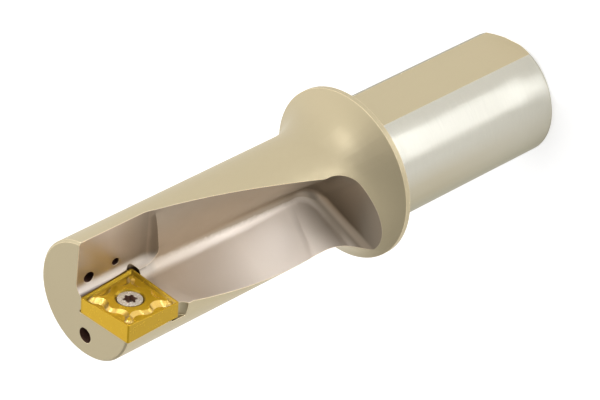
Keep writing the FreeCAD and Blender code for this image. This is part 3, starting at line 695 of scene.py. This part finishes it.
def gold_coating(finish):
    """Golden hard coating over carbide, with a fine sintered grain. It is glossy on the slopes of
    the chip groove, has painted shade on the sides, toward the pocket wall and in gaps, and a
    highlight painted along its honed edges."""
    material, tree, shader = new_metal(
        "gold_coating", Metallic=0.72, Coat_Roughness=0.2, Coat_IOR=2.0, Specular_IOR_Level=0.0)
    grain = effect(tree, "coat_grain", Mottle_size=420.0, Grain_size=6000.0)
    edge = effect(tree, "edge_highlight", Width=finish.insert_edge_width)
    gap = effect(tree, "crevice", Reach=0.0026, Start=0.86)
    place = place_on(tree)
    facing = facing_of(tree)
    gloss = product(tree, rising(tree, facing["Y"], *INSERT_SLOPE, top=0.95, bottom=0.12),
                    falling(tree, facing["Y"], *INSERT_LEVEL, bottom=0.2))
    tree.links.new(gloss, shader.inputs["Coat Weight"])
    # Painted shade on the sides, on steep faces and toward the pocket wall.
    sides = math_node(tree, "ADD", falling(tree, facing["X"], *INSERT_LEFT_SIDE),
                      rising(tree, facing["X"], *INSERT_RIGHT_SIDE, top=0.55))
    steep = product(tree, falling(tree, facing["Y"], *INSERT_STEEP),
                    rising(tree, facing["Y"], *INSERT_UPRIGHT, bottom=0.33))
    beside_wall = falling(tree, place["X"], *INSERT_BESIDE_WALL, top=0.9)
    away = math_node(tree, "ADD", sides, largest(tree, steep, beside_wall), clamp=True)
    coat = mottled(tree, grain.outputs["Mottle"], finish.gold_deep, finish.gold)
    shaded = mixed_colour(tree, away, coat, scaled(finish.gold, GOLD_SIDE_SHARE))
    # Painted highlight along the honed edges.
    bright = scaled(finish.gold, 1.25, lift=0.05)
    highlighted = mixed_colour(tree, edge.outputs["Edge"], shaded, bright)
    # Painted shade in the gaps.
    colour = mixed_colour(tree, gap.outputs["Gap"], highlighted, scaled(finish.gold, GOLD_GAP_SHARE))
    tree.links.new(colour, shader.inputs["Base Color"])
    tree.links.new(grainy_roughness(tree, grain, 0.22, 0.27), shader.inputs["Roughness"])
    bumped(tree, shader, grain.outputs["Grain"], FINE_BUMP, edge.outputs["Normal"])
    return material


def screw_steel(finish):
    """Bright steel of the clamping screw, with a highlight painted along its edges."""
    material, tree, shader = new_metal("screw_steel", Metallic=0.75)
    grain = effect(tree, "coat_grain", Mottle_size=600.0, Grain_size=9000.0)
    edge = effect(tree, "edge_highlight", Width=finish.insert_edge_width)
    dull = scaled(finish.screw_steel, 0.9)
    steel = mottled(tree, grain.outputs["Mottle"], dull, finish.screw_steel)
    # Painted highlight: the colour is brightened along the rounded edges.
    highlighted = mixed_colour(tree, edge.outputs["Edge"], steel, scaled(finish.screw_steel, 1.2))
    tree.links.new(highlighted, shader.inputs["Base Color"])
    tree.links.new(ranged(tree, grain.outputs["Mottle"], 0.22, 0.30), shader.inputs["Roughness"])
    bumped(tree, shader, grain.outputs["Grain"], FINE_BUMP, edge.outputs["Normal"])
    return material


def in_bore(tree, face, reach):
    """True where the face looks at steel closer than the reach, as inside a drilled hole."""
    start = face.center + face.normal * RAY_LIFT
    return tree.ray_cast(start, face.normal, reach)[0] is not None


class DRILL_OT_finish_body(bpy.types.Operator):
    """Dress the drill body in satin nickel, with its shank ground bright"""

    bl_idname = "drill.finish_body"
    bl_label = "Drill body"

    def execute(self, context):
        finish = context.scene.drill_finish
        nickel = satin_nickel(finish)
        piece = merged_copy("drill_body", "steel_body", finish.sharp_angle)
        for material in (nickel, ground_steel(finish), bore_shade(finish), milled_nickel(finish)):
            piece.data.materials.append(material)
        tree = BVHTree.FromObject(piece, context.evaluated_depsgraph_get())
        for face in piece.data.polygons:
            middle = face.center
            outside = math.hypot(middle.x, middle.y) > SHANK_CORE
            on_shank = middle.z < SHANK_LENGTH - SKIN and outside
            flat = face.normal.y > FLAT_UP or abs(face.normal.z) > END_ALONG
            if on_shank and not flat:
                face.material_index = GROUND
            elif in_bore(tree, face, finish.bore_reach):
                face.material_index = BORED
        dress_node("drill_body", nickel)
        return {"FINISHED"}


class DRILL_OT_finish_insert(bpy.types.Operator):
    """Dress the cutting insert in its golden coating"""

    bl_idname = "drill.finish_insert"
    bl_label = "Cutting insert"

    def execute(self, context):
        finish = context.scene.drill_finish
        gold = gold_coating(finish)
        piece = merged_copy("cutting_insert", "coated_insert", finish.sharp_angle)
        piece.data.materials.append(gold)
        dress_node("cutting_insert", gold)
        return {"FINISHED"}


class DRILL_OT_finish_screw(bpy.types.Operator):
    """Dress the clamping screw in bright steel"""

    bl_idname = "drill.finish_screw"
    bl_label = "Clamping screw"

    def execute(self, context):
        finish = context.scene.drill_finish
        steel = screw_steel(finish)
        piece = merged_copy("insert_screw", "bright_screw", finish.sharp_angle)
        piece.data.materials.append(steel)
        piece.data.materials.append(bore_shade(finish))
        tree = BVHTree.FromObject(piece, context.evaluated_depsgraph_get())
        for face in piece.data.polygons:
            if in_bore(tree, face, finish.bore_reach):
                face.material_index = SCREW_BORED
        dress_node("insert_screw", steel)
        return {"FINISHED"}


def soft_lamp(name, place, aim, width, height, power, turn, spread):
    """Rectangular soft light that looks from a place at a point, turned about its beam."""
    lamp = bpy.data.lights.new(name, "AREA")
    lamp.shape = "RECTANGLE"
    lamp.size = width
    lamp.size_y = height
    lamp.energy = power
    lamp.color = LAMP_COLOUR
    lamp.spread = math.radians(spread)
    item = link_object(bpy.data.objects.new(name, lamp))
    item.location = place
    look = (Vector(aim) - Vector(place)).to_track_quat("-Z", "Y").to_matrix()
    item.rotation_euler = (look @ Matrix.Rotation(math.radians(turn), 3, "Z")).to_euler()


def set_floor(studio):
    """Plain pale floor that glows a little."""
    work = bmesh.new()
    bmesh.ops.create_grid(work, x_segments=1, y_segments=1, size=studio.floor_size / 2)
    mesh = bpy.data.meshes.new("floor")
    work.to_mesh(mesh)
    work.free()
    floor = link_object(bpy.data.objects.new("floor", mesh))
    material = bpy.data.materials.new("pale_floor")
    material.use_nodes = True
    shader = material.node_tree.nodes["Principled BSDF"]
    for label, value in (("Base Color", studio.floor_colour), ("Roughness", 0.9),
                         ("Specular IOR Level", 0.1), ("Emission Color", studio.floor_colour),
                         ("Emission Strength", studio.floor_glow)):
        shader.inputs[label].default_value = value
    mesh.materials.append(material)


def set_room(scene, strength):
    """Room that is bright on one side and darker on the other."""
    world = bpy.data.worlds.new("studio_room")
    world.use_nodes = True
    scene.world = world
    tree = world.node_tree
    back = tree.nodes["Background"]
    back.inputs["Strength"].default_value = strength
    place = tree.nodes.new("ShaderNodeTexCoord")
    agreed = dot_product(tree, place.outputs["Generated"], BRIGHT_SIDE)
    ramp = tree.nodes.new("ShaderNodeValToRGB")
    brightness = math_node(tree, "MULTIPLY_ADD", agreed, 0.5, third=0.5)
    tree.links.new(brightness, ramp.inputs["Fac"])
    tree.links.new(ramp.outputs["Color"], back.inputs["Color"])
    stops = ramp.color_ramp.elements
    while len(stops) < len(ROOM_LIGHTS):
        stops.new(1.0)
    for stop, (position, light) in zip(stops, ROOM_LIGHTS):
        stop.position = position
        stop.color = (light, light, light, 1)


def set_lamps():
    """Window, insert light and the lit places on the floor."""
    for lamp in FIRST_LAMPS:
        soft_lamp(*lamp)
    origin, toward, lamp_height = map(Vector, (STRIP_ORIGIN, STRIP_DIRECTION, STRIP_LAMP_HEIGHT))
    for number, (near, far) in enumerate(zip(STRIP_ENDS_MM, STRIP_ENDS_MM[1:]), 1):
        middle = (near + far) / 2000
        across = STRIP_WIDTH + STRIP_WIDENING * middle
        spot = origin + toward * middle
        power = STRIP_POWER * across * (far - near) / 1000
        soft_lamp("floor_strip_%d" % number, spot + lamp_height, spot, (far - near) / 1000, across,
                  power, STRIP_TURN, STRIP_SPREAD)
    soft_lamp(*FLOOR_POOL)


def set_camera(scene, lens):
    """Camera that stands and looks as the photograph's did."""
    camera = bpy.data.cameras.new("photo_camera")
    camera.lens = lens
    camera.sensor_width = SENSOR_WIDTH_MM
    camera.sensor_fit = "HORIZONTAL"
    camera.clip_start = NEAREST_SEEN
    item = link_object(bpy.data.objects.new("photo_camera", camera))
    turn = Matrix((CAMERA_RIGHT, CAMERA_UP, CAMERA_BACK)).transposed().to_4x4()
    item.matrix_world = Matrix.Translation(CAMERA_PLACE) @ turn
    scene.camera = item


class DRILL_OT_set_stage(bpy.types.Operator):
    """Set out the floor, the soft lights and the camera"""

    bl_idname = "drill.set_stage"
    bl_label = "Stage and camera"

    def execute(self, context):
        scene = context.scene
        studio = scene.drill_studio
        set_floor(studio)
        set_room(scene, studio.sky)
        set_lamps()
        set_camera(scene, studio.lens)
        scene.view_settings.view_transform = "Standard"
        scene.view_settings.look = "None"
        return {"FINISHED"}


class DRILL_PT_panel(bpy.types.Panel):
    """Lists the drill's pieces and their settings"""

    bl_label = "Indexable drill"
    bl_idname = "DRILL_PT_panel"
    bl_space_type = "VIEW_3D"
    bl_region_type = "UI"
    bl_category = "Drill"

    def draw(self, context):
        for operator in OPERATORS:
            self.layout.operator(operator.bl_idname)
        for settings in (context.scene.drill_finish, context.scene.drill_studio):
            box = self.layout.box()
            for name in settings.__annotations__:
                box.prop(settings, name)


OPERATORS = (DRILL_OT_finish_body, DRILL_OT_finish_insert, DRILL_OT_finish_screw,
             DRILL_OT_set_stage)
CLASSES = (FinishSettings, StudioSettings) + OPERATORS + (DRILL_PT_panel,)


def register():
    for item in CLASSES:
        bpy.utils.register_class(item)
    bpy.types.Scene.drill_finish = bpy.props.PointerProperty(type=FinishSettings)
    bpy.types.Scene.drill_studio = bpy.props.PointerProperty(type=StudioSettings)


def unregister():
    del bpy.types.Scene.drill_studio
    del bpy.types.Scene.drill_finish
    for item in reversed(CLASSES):
        bpy.utils.unregister_class(item)


def main():
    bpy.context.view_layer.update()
    register()
    bpy.ops.drill.finish_body()
    bpy.ops.drill.finish_insert()
    bpy.ops.drill.finish_screw()
    bpy.ops.drill.set_stage()


if __name__ == "__main__":
    main()
